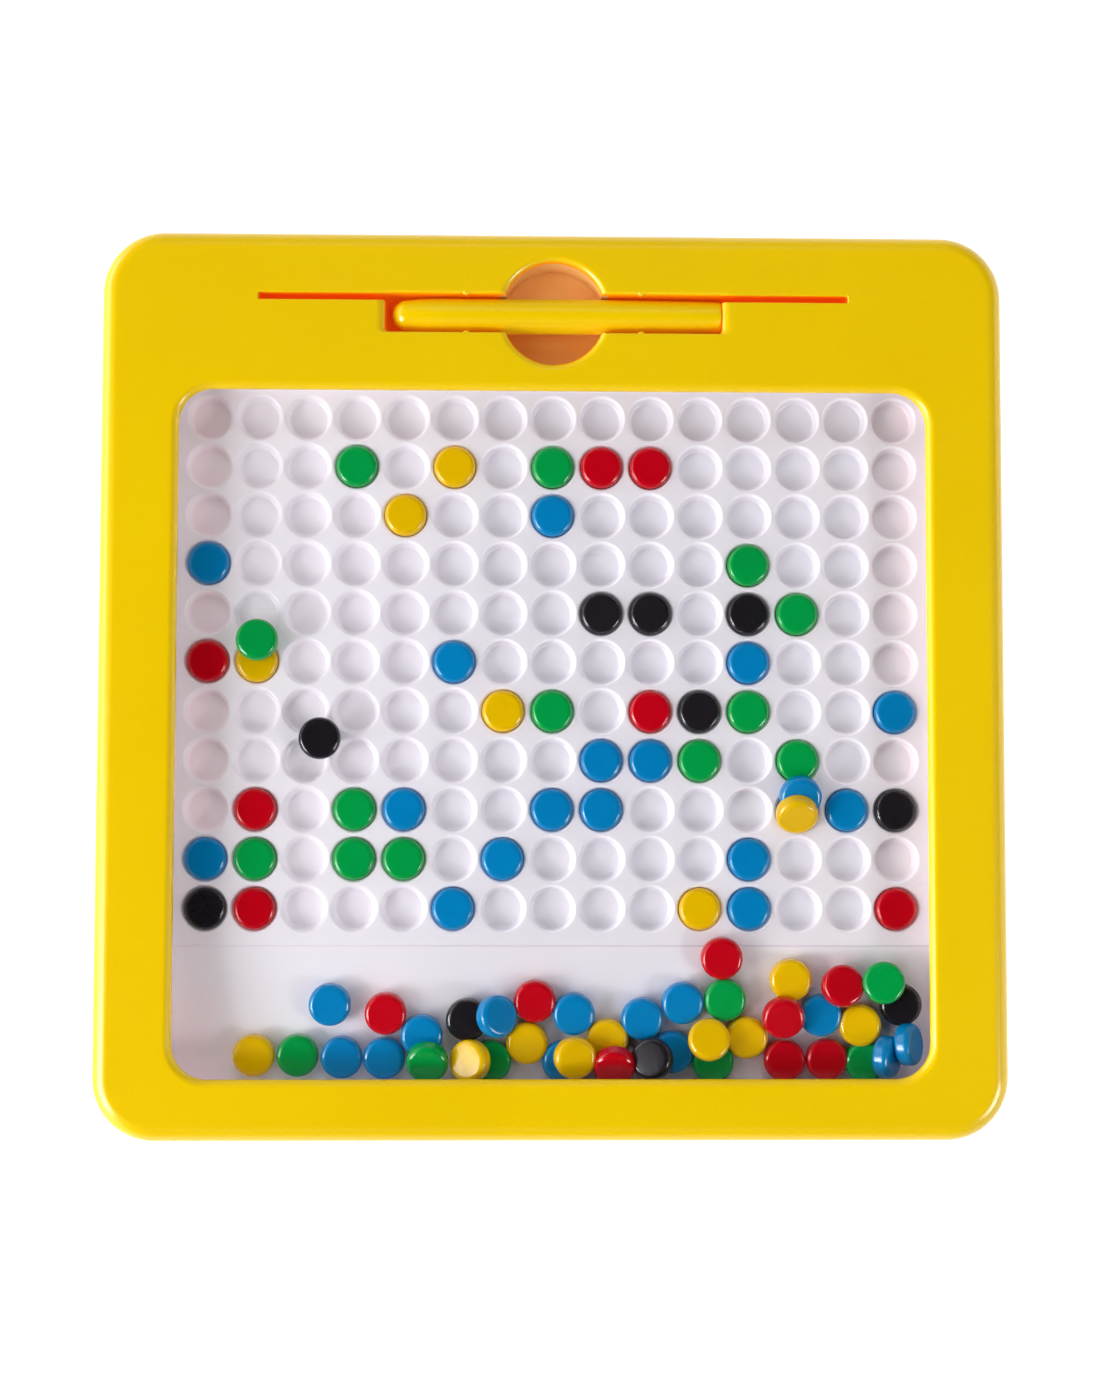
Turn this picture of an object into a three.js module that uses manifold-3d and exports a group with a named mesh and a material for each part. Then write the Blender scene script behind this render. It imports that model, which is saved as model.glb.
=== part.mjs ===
// Magnetic dot drawing board: a shallow two-part case with a window, a dimpled panel that holds
// steel-cored tokens, a sloping tray for the spare ones, a clear cover and a magnetic pen.
// Millimetres. It lies on its back: +Z is up out of the window, +Y points to the pen's edge,
// and the origin is the centre of the back face.

import * as THREE from "three";
import { mergeGeometries, mergeVertices } from "three/addons/utils/BufferGeometryUtils.js";
import Module from "manifold-3d";

const wasm = await Module();
wasm.setup();

// ---- Driving dimensions ----

const boardSize = 240;
const boardHeight = 24;
const boardCornerRadius = 16.5;
const frontEdgeRadius = 4.5;
const backEdgeRadius = 2.5;
const wall = 2.5; // outer walls and the frame's face
const floorThickness = 2; // back cover
const partingHeight = 9; // top of the back cover's wall
const fitGap = 0.3; // clearance between pieces that meet

const windowWidth = 198.5;
const windowLength = 181.5;
const windowCentreY = -13.1;
const windowCornerRadius = 9.2;

const gridColumns = 15;
const gridRows = 11;
const gridPitch = 13.2;
const gridCentreY = 6; // the middle row
const dimpleFloorRadius = 5.2;
const dimpleLipRadius = 6.1;
const dimpleDepth = 3.6;

const tokenRadius = 5.6;
const tokenFlatRadius = 3.8;
const tokenThickness = 4.6;
const tokenRimHeight = 1.6;

const panelTop = 12; // height of the dimpled surface
const panelThickness = 4.6;
const panelHalfWidth = 103.6;
const panelBackEdgeY = 114; // runs under the pen's end of the case
const creaseY = -69.6; // where the panel folds down into the tray
const trayDrop = 5.2;
const trayThickness = 2.7;
const rimThickness = 2;
const rimBackY = 82; // far side of the rim, just past the window
const rimFrontY = -108.2;
const rimCornerRadius = 11;

const coverThickness = 1.5;

const penLength = 88;
const penCentreX = 0.9;
const penBellyRadius = 4.65;
const penEndRadius = 4.2;
const penAxisHeight = 19;
const magnetRadius = 2.5;
const magnetLength = 6;

const pocketWall = 1.8;
const slotLength = 89.8;
const slotWidth = 10.2;
const slotCentreY = 98.3;
const slotFloorHeight = 14;
const slotCornerRadius = 1.2;
const nubOffset = 23.3; // snap nubs, either side of the middle
const nubRadius = 1;
const nubReach = 0.3;
const nubHeight = 2;
const wellRadius = 13.7;
const cardSlotLength = 156.8;
const cardSlotWidth = 1.9;
const cardSlotDepth = 9;

const screwColumn = 110.3;
const screwRows = [-104, 0, 104];
const bossRadius = 3.4;
const pilotRadius = 1.7;
const postRadius = 4.6;
const counterboreRadius = 3.3;
const counterboreDepth = 4;
const screwHeadRadius = 2.8;
const screwHeadHeight = 1.7;
const screwShaftRadius = 1.4;
const screwLength = 16;
const supportRadius = 4;

// Which token sits in which dimple, row by row from the pen's side, seen from the front.
const tokenRows = [
  "...............",
  "...g.y.grr.....",
  "....y..b.......",
  "b..........g...",
  "........kk.kg..",
  "ry...b.....b...",
  "......yg.rkg..b",
  "........bbg.g..",
  ".r.gb..bb....bk",
  "bg.gg.b....b...",
  "kr...b....yb..r",
];
const tokenColours = { r: "red", g: "green", b: "blue", y: "yellow", k: "black" };

const smallRoundSegments = 12;
const roundSegments = 24;
const arcSegments = 5; // per quarter turn

// ---- Materials ----

const plastic = (color, roughness) => new THREE.MeshStandardMaterial({ color, roughness, metalness: 0 });
const materials = {
  caseYellow: plastic(0xebc800, 0.35),
  panelWhite: plastic(0xe4dfe8, 0.4),
  clear: new THREE.MeshStandardMaterial({
    color: 0xf4f8fa,
    roughness: 0.05,
    metalness: 0,
    transparent: true,
    opacity: 0.15,
  }),
  steel: new THREE.MeshStandardMaterial({ color: 0xb8babd, roughness: 0.3, metalness: 1 }),
  magnet: new THREE.MeshStandardMaterial({ color: 0x3a3b3e, roughness: 0.5, metalness: 0.6 }),
  red: plastic(0xc80019, 0.2),
  green: plastic(0x00963c, 0.2),
  blue: plastic(0x0082be, 0.2),
  yellow: plastic(0xe1b400, 0.2),
  black: plastic(0x232023, 0.2),
};

// ---- Solids ----

// A closed three.js geometry as a manifold-3d solid.
function solidOf(geometry) {
  const bare = geometry.clone();
  bare.deleteAttribute("normal");
  bare.deleteAttribute("uv");
  const merged = mergeVertices(bare, 1e-4);
  return new wasm.Manifold(
    new wasm.Mesh({
      numProp: 3,
      vertProperties: merged.attributes.position.array,
      triVerts: new Uint32Array(merged.index.array),
    }),
  );
}

// A manifold-3d solid as a three.js geometry.
function geometryOf(solid) {
  const { vertProperties, triVerts } = solid.getMesh();
  const geometry = new THREE.BufferGeometry();
  geometry.setAttribute("position", new THREE.BufferAttribute(vertProperties, 3));
  geometry.setIndex(new THREE.BufferAttribute(triVerts, 1));
  geometry.computeVertexNormals();
  return geometry;
}

// A rectangle with round corners, given by its edges.
function roundedRectangle(left, right, front, back, radius) {
  const shape = new THREE.Shape();
  shape.absarc(right - radius, back - radius, radius, 0, Math.PI / 2);
  shape.absarc(left + radius, back - radius, radius, Math.PI / 2, Math.PI);
  shape.absarc(left + radius, front + radius, radius, Math.PI, Math.PI * 1.5);
  shape.absarc(right - radius, front + radius, radius, Math.PI * 1.5, Math.PI * 2);
  shape.closePath();
  return shape;
}

// A square outline about the board's centre, drawn in from its edge.
function boardOutline(inset) {
  const half = boardSize / 2 - inset;
  return roundedRectangle(-half, half, -half, half, boardCornerRadius - inset);
}

function prism(shape, bottom, top) {
  const geometry = new THREE.ExtrudeGeometry(shape, {
    depth: top - bottom,
    bevelEnabled: false,
    curveSegments: arcSegments,
  });
  return solidOf(geometry.translate(0, 0, bottom));
}

// The board's outline from bottom to top, with every edge rounded off at both ends.
function roundedBoard(bottom, top, radius) {
  const geometry = new THREE.ExtrudeGeometry(boardOutline(radius), {
    depth: top - bottom - 2 * radius,
    bevelThickness: radius,
    bevelSize: radius,
    bevelSegments: 3,
    curveSegments: arcSegments,
  });
  return solidOf(geometry.translate(0, 0, bottom + radius));
}

function block(left, right, front, back, bottom, top) {
  const geometry = new THREE.BoxGeometry(right - left, back - front, top - bottom);
  return solidOf(geometry.translate((left + right) / 2, (front + back) / 2, (bottom + top) / 2));
}

// A solid of revolution about a vertical axis, from [radius, height] points that start and end on it.
function turned(points, segments) {
  const profile = points.map(([radius, height]) => new THREE.Vector2(radius, height));
  return new THREE.LatheGeometry(profile, segments).rotateX(Math.PI / 2);
}

function rod(x, y, radius, bottom, top, segments = smallRoundSegments) {
  const profile = [
    [0, bottom],
    [radius, bottom],
    [radius, top],
    [0, top],
  ];
  return solidOf(turned(profile, segments).translate(x, y, 0));
}

const screwPlaces = screwRows.flatMap((y) => [
  [-screwColumn, y],
  [screwColumn, y],
]);

// ---- Front frame ----

const faceUnderside = boardHeight - wall;
const slotHalfLength = slotLength / 2;
const slotFront = slotCentreY - slotWidth / 2;
const slotBack = slotCentreY + slotWidth / 2;
const cardHalfLength = cardSlotLength / 2;
const cardFront = slotBack - cardSlotWidth;
const pocketBottom = panelTop + fitGap;
const bossBottom = partingHeight + fitGap;
const above = boardHeight + 1;

function frontFrame() {
  let frame = roundedBoard(0, boardHeight, frontEdgeRadius)
    .subtract(block(-boardSize, boardSize, -boardSize, boardSize, -1, bossBottom))
    .subtract(prism(boardOutline(wall), bossBottom - 1, faceUnderside));

  // Pocket walls under the face, before they are hollowed out.
  const slotPocket = prism(
    roundedRectangle(
      -slotHalfLength - pocketWall,
      slotHalfLength + pocketWall,
      slotFront - pocketWall,
      slotBack + pocketWall,
      slotCornerRadius + pocketWall,
    ),
    pocketBottom,
    faceUnderside + 1,
  );
  const cardPocket = block(
    -cardHalfLength - pocketWall,
    cardHalfLength + pocketWall,
    cardFront - pocketWall,
    slotBack + pocketWall,
    boardHeight - cardSlotDepth - pocketWall,
    faceUnderside + 1,
  );
  const tubeRadius = wellRadius + pocketWall;
  const wellTube = rod(0, slotCentreY, tubeRadius, pocketBottom, faceUnderside + 1, roundSegments);
  frame = frame.add(slotPocket).add(cardPocket).add(wellTube);
  for (const [x, y] of screwPlaces) {
    frame = frame.add(rod(x, y, bossRadius, bossBottom, faceUnderside + 1));
  }

  // Openings.
  const windowHalf = windowWidth / 2;
  const windowOpening = prism(
    roundedRectangle(
      -windowHalf,
      windowHalf,
      windowCentreY - windowLength / 2,
      windowCentreY + windowLength / 2,
      windowCornerRadius,
    ),
    faceUnderside - 1,
    above,
  );
  const slotOpening = prism(
    roundedRectangle(-slotHalfLength, slotHalfLength, slotFront, slotBack, slotCornerRadius),
    slotFloorHeight,
    above,
  );
  const cardOpening = block(
    -cardHalfLength,
    cardHalfLength,
    cardFront,
    slotBack,
    boardHeight - cardSlotDepth,
    above,
  );
  const wellOpening = rod(0, slotCentreY, wellRadius, pocketBottom - 1, above, roundSegments);
  frame = frame.subtract(windowOpening).subtract(slotOpening).subtract(cardOpening).subtract(wellOpening);
  for (const [x, y] of screwPlaces) {
    frame = frame.subtract(rod(x, y, pilotRadius, bossBottom - 1, faceUnderside - 1));
  }

  // Snap nubs on the slot's long edges, clear of the pen's sides by a hair.
  for (const side of [-1, 1]) {
    for (const x of [-nubOffset, nubOffset]) {
      const y = slotCentreY + side * (slotWidth / 2 + nubRadius - nubReach);
      const top = boardHeight - 0.6;
      frame = frame.add(rod(x, y, nubRadius, top - nubHeight, top));
    }
  }
  return frame;
}

// ---- Back cover ----

function backCover() {
  let cover = roundedBoard(0, boardHeight, backEdgeRadius)
    .subtract(block(-boardSize, boardSize, -boardSize, boardSize, partingHeight, above))
    .subtract(prism(boardOutline(wall), floorThickness, above));
  for (const [x, y] of screwPlaces) {
    cover = cover.add(rod(x, y, postRadius, floorThickness / 2, partingHeight));
  }
  const supportTop = panelTop - panelThickness - fitGap;
  for (const x of [-60, 0, 60]) {
    for (const y of [-40, 20, 95]) {
      cover = cover.add(rod(x, y, supportRadius, floorThickness / 2, supportTop));
    }
  }
  for (const [x, y] of screwPlaces) {
    cover = cover
      .subtract(rod(x, y, counterboreRadius, -1, counterboreDepth))
      .subtract(rod(x, y, pilotRadius, counterboreDepth - 1, above));
  }
  return cover;
}

// ---- Dimpled panel with its tray and rim ----

const trayEndTop = panelTop - trayDrop;

function dimpleGeometry() {
  const floor = panelTop - dimpleDepth;
  const lipSlope = (dimpleLipRadius - dimpleFloorRadius) / dimpleDepth;
  return turned(
    [
      [0, floor],
      [dimpleFloorRadius, floor],
      [dimpleLipRadius + lipSlope, panelTop + 1],
      [0, panelTop + 1],
    ],
    smallRoundSegments,
  );
}

function gridPlace(row, column) {
  const x = (column - (gridColumns - 1) / 2) * gridPitch;
  const y = gridCentreY + ((gridRows - 1) / 2 - row) * gridPitch;
  return [x, y];
}

function dimplePanel() {
  // Section across the panel, y to the right and z up, swept along x.
  const section = new THREE.Shape([
    new THREE.Vector2(rimFrontY, trayEndTop),
    new THREE.Vector2(rimFrontY, trayEndTop - trayThickness),
    new THREE.Vector2(creaseY, panelTop - panelThickness),
    new THREE.Vector2(panelBackEdgeY, panelTop - panelThickness),
    new THREE.Vector2(panelBackEdgeY, panelTop),
    new THREE.Vector2(creaseY, panelTop),
  ]);
  const alongX = new THREE.Matrix4().makeBasis(
    new THREE.Vector3(0, 1, 0),
    new THREE.Vector3(0, 0, 1),
    new THREE.Vector3(1, 0, 0),
  );
  const sweep = new THREE.ExtrudeGeometry(section, { depth: 2 * panelHalfWidth, bevelEnabled: false });
  const plate = solidOf(sweep.applyMatrix4(alongX).translate(-panelHalfWidth, 0, 0));

  const rimTop = faceUnderside - fitGap - coverThickness - fitGap;
  const rimBottom = trayEndTop - trayThickness;
  const rimOuter = prism(
    roundedRectangle(-panelHalfWidth, panelHalfWidth, rimFrontY, rimBackY, rimCornerRadius),
    rimBottom,
    rimTop,
  );
  const inner = panelHalfWidth - rimThickness;
  const rimInner = prism(
    roundedRectangle(
      -inner,
      inner,
      rimFrontY + rimThickness,
      rimBackY - rimThickness,
      rimCornerRadius - rimThickness,
    ),
    rimBottom - 1,
    rimTop + 1,
  );
  const dimples = [];
  for (let row = 0; row < gridRows; row += 1) {
    for (let column = 0; column < gridColumns; column += 1) {
      const [x, y] = gridPlace(row, column);
      dimples.push(dimpleGeometry().translate(x, y, 0));
    }
  }
  return plate.add(rimOuter.subtract(rimInner)).subtract(solidOf(mergeGeometries(dimples)));
}

// ---- Clear cover ----

function clearCover() {
  const top = faceUnderside - fitGap;
  const outline = roundedRectangle(
    -panelHalfWidth,
    panelHalfWidth,
    rimFrontY,
    rimBackY,
    rimCornerRadius,
  );
  return prism(outline, top - coverThickness, top);
}

// ---- Pen ----

const penLeft = penCentreX - penLength / 2;

// Turns a piece made along +Z from the origin into one that lies along +X in the pen's slot.
function layInSlot(geometry) {
  return solidOf(geometry.rotateY(Math.PI / 2).translate(penLeft, slotCentreY, penAxisHeight));
}

function penBarrel() {
  const edge = 0.8;
  const dome = [0, 22, 45, 68, 90].map((degrees) => {
    const angle = THREE.MathUtils.degToRad(degrees);
    return [penEndRadius * Math.sin(angle), penEndRadius * (1 - Math.cos(angle))];
  });
  const profile = [
    ...dome,
    [(penEndRadius + penBellyRadius) / 2 + 0.1, penLength * 0.2],
    [penBellyRadius, penLength * 0.4],
    [penBellyRadius, penLength * 0.6],
    [(penEndRadius + penBellyRadius) / 2 + 0.1, penLength * 0.8],
    [penEndRadius, penLength - edge],
    [penEndRadius - edge, penLength],
    [magnetRadius + fitGap, penLength],
    [magnetRadius + fitGap, penLength - magnetLength - 2 * fitGap],
    [0, penLength - magnetLength - 2 * fitGap],
  ];
  return layInSlot(turned(profile, 16));
}

function penMagnet() {
  const start = penLength - magnetLength - fitGap;
  return layInSlot(
    turned(
      [
        [0, start],
        [magnetRadius, start],
        [magnetRadius, start + magnetLength],
        [0, start + magnetLength],
      ],
      16,
    ),
  );
}

// ---- Screws and tokens ----

function screw(x, y) {
  const shoulder = counterboreDepth - fitGap;
  const head = shoulder - screwHeadHeight;
  const tip = shoulder + screwLength - screwHeadHeight;
  const profile = [
    [0, head],
    [screwHeadRadius * 0.7, head],
    [screwHeadRadius, shoulder - 0.6],
    [screwHeadRadius, shoulder],
    [screwShaftRadius, shoulder],
    [screwShaftRadius, tip - 2],
    [0, tip],
  ];
  return solidOf(turned(profile, smallRoundSegments).translate(x, y, 0));
}

function token(x, y, bottom) {
  const shoulder = (tokenThickness - tokenRimHeight) / 2;
  const profile = [
    [0, 0],
    [tokenFlatRadius, 0],
    [tokenRadius, shoulder],
    [tokenRadius, shoulder + tokenRimHeight],
    [tokenFlatRadius, tokenThickness],
    [0, tokenThickness],
  ];
  return solidOf(turned(profile, smallRoundSegments).translate(x, y, bottom));
}

// ---- Assembly ----

const board = new THREE.Group();

function place(parent, name, solid, material) {
  const mesh = new THREE.Mesh(geometryOf(solid), material);
  mesh.name = name;
  parent.add(mesh);
}

const casing = new THREE.Group();
place(casing, "front_frame", frontFrame(), materials.caseYellow);
place(casing, "back_cover", backCover(), materials.caseYellow);
place(casing, "dimple_panel", dimplePanel(), materials.panelWhite);
place(casing, "clear_cover", clearCover(), materials.clear);
screwPlaces.forEach(([x, y], index) => {
  place(casing, `case_screw_${index + 1}`, screw(x, y), materials.steel);
});

const pen = new THREE.Group();
place(pen, "pen_barrel", penBarrel(), materials.caseYellow);
place(pen, "pen_magnet", penMagnet(), materials.magnet);

const tokens = new THREE.Group();
const tokenBottom = panelTop - dimpleDepth + fitGap;
tokenRows.forEach((cells, row) => {
  [...cells].forEach((letter, column) => {
    const colour = tokenColours[letter];
    if (!colour) return;
    const [x, y] = gridPlace(row, column);
    const rowLabel = String(row + 1).padStart(2, "0");
    const columnLabel = String(column + 1).padStart(2, "0");
    const name = `token_r${rowLabel}_c${columnLabel}_${colour}`;
    place(tokens, name, token(x, y, tokenBottom), materials[colour]);
  });
});

board.add(casing, pen, tokens);

export default board;
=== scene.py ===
"""A magnetic dot drawing board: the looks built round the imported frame.

Pieces are made in millimetres and kept in metres, in the frame's own axes: the board lies on its
back, +Z is up out of the window and +Y points to the pen's edge.
"""

import math
import random

import bmesh
import bpy
import numpy as np
from mathutils import Euler, Matrix, Vector


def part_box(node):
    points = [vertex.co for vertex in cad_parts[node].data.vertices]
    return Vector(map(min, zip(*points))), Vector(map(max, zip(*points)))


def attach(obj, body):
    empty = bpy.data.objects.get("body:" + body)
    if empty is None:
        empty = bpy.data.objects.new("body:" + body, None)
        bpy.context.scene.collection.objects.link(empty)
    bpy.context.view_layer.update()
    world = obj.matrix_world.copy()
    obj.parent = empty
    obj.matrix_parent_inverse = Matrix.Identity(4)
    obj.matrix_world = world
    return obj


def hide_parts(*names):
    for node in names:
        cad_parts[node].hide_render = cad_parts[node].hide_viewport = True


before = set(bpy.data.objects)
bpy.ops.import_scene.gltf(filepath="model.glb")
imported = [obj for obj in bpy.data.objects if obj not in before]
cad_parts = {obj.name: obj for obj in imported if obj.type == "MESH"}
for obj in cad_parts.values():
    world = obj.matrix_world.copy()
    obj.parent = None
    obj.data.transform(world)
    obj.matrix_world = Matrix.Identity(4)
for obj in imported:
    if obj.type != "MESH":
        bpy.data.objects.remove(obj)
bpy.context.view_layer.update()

MM = 0.001  # in metres

# ---- Sizes, in millimetres ----
BOARD_HALF = 120
BOARD_TOP = 24
BOARD_CORNER = 16.5
PARTING = 9  # top of the back cover
FIT_GAP = 0.3
WALL = 2.5
FACE_UNDERSIDE = BOARD_TOP - WALL
WINDOW = (-99.25, 99.25, -103.85, 77.65)
WINDOW_CORNER = 9.2
TRAY_OUTLINE = (-103.6, 103.6, -108.2, 82)  # outside of the rim, and the clear cover's edge
TRAY_CORNER = 11
RIM_TOP = 19.4
RIM_WALL = 2
PANEL_TOP = 12
PANEL_UNDERSIDE = 7.4
COVER = 19.7  # underside of the clear sheet
COVER_THICKNESS = 1.5
PANEL_BACK = 114
CREASE = -69.6
TRAY_END = 6.8
COLUMNS, ROWS, PITCH, GRID_Y = 15, 11, 13.2, 6
DIMPLE_FLOOR = 8.4
DIMPLE_RADIUS = 5.7
TOKEN_RADIUS, TOKEN_HALF, TOKEN_BAND = 5.6, 2.3, 0.8
TOKEN_FACE = 4.1  # where the flat face gives way to the round edge
SLOT_Y = 98.3
SLOT = (-44.9, 44.9, 93.2, 103.4)
CARD_SLOT = (-78.4, 78.4, 101.5, 103.36)
WELL = 13.7
POCKET_WALL = 1.8
BOSS = 3.4
PILOT = 1.7  # the hole that a screw cuts its thread in
SCREWS = [(x, y) for x in (-110.3, 110.3) for y in (-104, 0, 104)]


# ---- Node graphs ----
class Wire:
    """A node's output. Arithmetic on it makes the nodes that work it out."""

    def __init__(self, graph, socket):
        self.graph, self.socket = graph, socket

    def __add__(self, other):
        return self.graph.sum("ADD", self, other)

    def __radd__(self, other):
        return self.graph.sum("ADD", other, self)

    def __sub__(self, other):
        return self.graph.sum("SUBTRACT", self, other)

    def __rsub__(self, other):
        return self.graph.sum("SUBTRACT", other, self)

    def __mul__(self, other):
        return self.graph.sum("MULTIPLY", self, other)

    def __rmul__(self, other):
        return self.graph.sum("MULTIPLY", other, self)

    def __truediv__(self, other):
        return self.graph.sum("DIVIDE", self, other)

    def __pow__(self, other):
        return self.graph.sum("POWER", self, other)

    def __abs__(self):
        return self.graph.wire("ShaderNodeMath", {0: self}, operation="ABSOLUTE")


class Graph:
    """Makes nodes in one tree, for shaders and Geometry Nodes alike."""

    def __init__(self, tree):
        self.tree = tree
        tree.nodes.clear()

    def node(self, kind, inputs=None, **settings):
        made = self.tree.nodes.new(kind)
        for name, value in settings.items():
            setattr(made, name, value)
        for name, value in (inputs or {}).items():
            if isinstance(value, Wire):
                self.tree.links.new(value.socket, made.inputs[name])
            else:
                made.inputs[name].default_value = value
        return made

    def wire(self, kind, inputs=None, out=0, **settings):
        return Wire(self, self.node(kind, inputs, **settings).outputs[out])

    def sum(self, how, a, b):
        return self.wire("ShaderNodeMath", {0: a, 1: b}, operation=how)

    def blend(self, factor, a, b):
        """A colour between a and b."""
        return self.wire("ShaderNodeMix", {0: factor, 6: a, 7: b}, out=2, data_type="RGBA")

    def ramp(self, value, start, end, low=0.0, high=1.0):
        """value carried smoothly from start..end to low..high, and held there beyond."""
        limits = {"From Min": start, "From Max": end, "To Min": low, "To Max": high}
        return self.wire(
            "ShaderNodeMapRange", {"Value": value, **limits}, interpolation_type="SMOOTHSTEP"
        )

    def place(self, stretch=(1, 1, 1), shift=(0, 0, 0)):
        """Points on the object, in metres, drawn out or moved."""
        point = self.wire("ShaderNodeTexCoord", out="Object")
        return self.wire(
            "ShaderNodeMapping", {"Vector": point, "Scale": stretch, "Location": shift}
        )

    def noise(self, point, scale, detail=2.0):
        return self.wire("ShaderNodeTexNoise", {"Vector": point, "Scale": scale, "Detail": detail})


# ---- Materials ----
def material(name, surface):
    """A material whose surface(graph) returns the shader."""
    made = bpy.data.materials.new(name)
    made.use_nodes = True
    graph = Graph(made.node_tree)
    shader = surface(graph)
    graph.node("ShaderNodeOutputMaterial", {"Surface": shader})
    return made


def moulded(name, colour, deep, gloss, grain=0.06, shift=0.0, painted_light_zones=()):
    """Injection-moulded plastic: slow flow marks between two tones, an orange-peel skin, and
    fine handling scuffs that dull the gloss. The zones are rows of painted light and shade, each a
    place, a painted tone and a painted glow: where place(x, y, z) is 1, in metres on the object,
    the plastic takes that painted tone, and the painted glow is emission that stands in for light
    coming through its thin walls."""

    def surface(graph):
        point = graph.place(shift=(shift, 0.7 * shift, 0))
        flow = graph.noise(point, 16, 3)
        speckle = graph.noise(point, 900, 2)
        peel = graph.noise(point, 650, 2)
        skin = graph.noise(point, 2600, 1)
        rubbed = graph.noise(point, 90, 5)
        tone = graph.ramp(flow * 0.8 + speckle * 0.2, 0.35, 0.65)
        scuff = graph.ramp(rubbed, 0.5, 0.75)
        base = graph.blend(tone, (*deep, 1), (*colour, 1))
        parts = graph.node("ShaderNodeSeparateXYZ", {"Vector": graph.place()}) if painted_light_zones else None
        # Painted light: each zone paints its tone into the base colour and its glow into the
        # emission, standing in for the light and shade that fall there.
        through = (0, 0, 0, 1)
        for place, other, painted_glow in painted_light_zones:
            inside = place(*[Wire(graph, parts.outputs[axis]) for axis in "XYZ"])
            base = graph.blend(inside, base, (*other, 1))
            through = graph.blend(inside, through, (*painted_glow, 1))
        relief = graph.wire(
            "ShaderNodeBump",
            {"Height": peel * 0.7 + skin * 0.3, "Strength": grain, "Distance": 0.0003},
        )
        return graph.wire(
            "ShaderNodeBsdfPrincipled",
            {
                "Base Color": base,
                "Roughness": gloss + scuff * 0.04 + speckle * 0.02,
                "Normal": relief,
                "IOR": 1.5,
                "Emission Color": through,
                "Emission Strength": 1.0 if painted_light_zones else 0.0,
            },
        )

    return material(name, surface)


def past(value, edge, fade):
    """0 up to an edge and 1 from fade beyond it, both in millimetres. A fade below 0 runs the
    other way."""
    return value.graph.ramp(value, edge * MM, (edge + fade) * MM)


def in_pockets(x, y, z):
    """Down inside the pen's slot, the finger well and the card slot, where a painted orange shade
    and a painted glow go.
    """
    return past(y, 83, 2) * past(y, 114.5, -2) * past(abs(x), 80, -1.3) * past(z, 23.8, -1.6)


def in_well(x, y, z):
    """The finger well's wall, below its rounded rim, which takes a painted darker orange shade."""
    offset = y - SLOT_Y * MM
    from_middle = (offset * offset + x * x) ** 0.5
    return past(from_middle, WELL + 1.95, -0.65) * past(z, 22.6, -1.4)


def under_header(x, y, z):
    """The part of the panel that the finger well opens on to, painted orange to stand in for its
    shade and the warm light bounced down into the well.
    """
    return past(y, 80, 3)


def under_far_side(x, y, z):
    """The half of that part towards the edge of the board, painted lighter and given a painted
    glow.
    """
    return past(y, 97.5, 7)


def to_left(x, y, z):
    """The left half of the panel, more and more towards its edge, painted lighter with a painted
    glow that lifts its shade.
    """
    return past(x, 0, -70)


def at_sides(x, y, z):
    """Bands along the left and right of the window, given a painted warm shade and a painted glow
    that stand in for light tinted by the yellow edge, most of all down in the dimples and the tray."""
    band = past(x, -81, -14) + past(x, 89, 13)
    return band * (past(z, 11.2, -1.7) * 0.65 + 0.35) * past(y, 83.5, -3.5)


def on_lips(x, y, z):
    """The rounded lips of the dimples, painted lighter and given a painted glow, a bright ring of
    painted light.
    """
    return past(z, 10.5, 0.9) * past(z, PANEL_TOP - 0.01, -0.06) * past(y, CREASE + 0.1, 0.7)


def on_floors(x, y, z):
    """The floors of the dimples, which get a painted tone and a painted glow that lighten their
    shade.
    """
    return past(z, DIMPLE_FLOOR + 0.8, -0.5) * past(y, CREASE + 0.6, 1)


def clear_sheet():
    """Thin clear acrylic: what it doesn't mirror passes straight through. Hairline scratches run
    across it."""

    def surface(graph):
        hair = graph.noise(graph.place(stretch=(1, 14, 1)), 60, 2)
        drift = graph.noise(graph.place(), 25, 2)
        scratch = graph.ramp(hair, 0.735, 0.76) * graph.ramp(drift, 0.5, 0.6)
        edge_on = graph.wire("ShaderNodeLayerWeight", {"Blend": 0.5}, out="Facing")
        mirror = edge_on**5 * 0.9 + 0.012
        through = graph.wire("ShaderNodeBsdfTransparent", {"Color": (0.995, 0.997, 1, 1)})
        gloss = graph.wire(
            "ShaderNodeBsdfPrincipled",
            {
                "Base Color": (0.9, 0.92, 0.95, 1),
                "Roughness": 0.04 + scratch * 0.3,
                "Metallic": 1.0,
            },
        )
        return graph.wire(
            "ShaderNodeMixShader", {0: mirror + scratch * 0.03, 1: through, 2: gloss}
        )

    return material("clear_acrylic", surface)


def bright_steel():
    """Zinc-plated screw steel with turning marks and a few dull patches."""

    def surface(graph):
        point = graph.place()
        patch = graph.noise(point, 700, 3)
        marks = graph.noise(graph.place(stretch=(1, 1, 9)), 2200, 1)
        relief = graph.wire(
            "ShaderNodeBump", {"Height": marks, "Strength": 0.15, "Distance": 0.0002}
        )
        return graph.wire(
            "ShaderNodeBsdfPrincipled",
            {
                "Base Color": graph.blend(patch, (0.45, 0.46, 0.47, 1), (0.66, 0.67, 0.68, 1)),
                "Metallic": 1.0,
                "Roughness": 0.22 + patch * 0.25,
                "Normal": relief,
            },
        )

    return material("plated_steel", surface)


def sintered_magnet():
    """Dark ferrite: a fine sintered grain with a dull metallic sheen."""

    def surface(graph):
        grains = graph.noise(graph.place(), 3200, 3)
        relief = graph.wire(
            "ShaderNodeBump", {"Height": grains, "Strength": 0.3, "Distance": 0.0003}
        )
        return graph.wire(
            "ShaderNodeBsdfPrincipled",
            {
                "Base Color": graph.blend(grains, (0.03, 0.03, 0.033, 1), (0.08, 0.08, 0.085, 1)),
                "Metallic": 0.6,
                "Roughness": 0.4 + grains * 0.25,
                "Normal": relief,
            },
        )

    return material("sintered_ferrite", surface)


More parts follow.
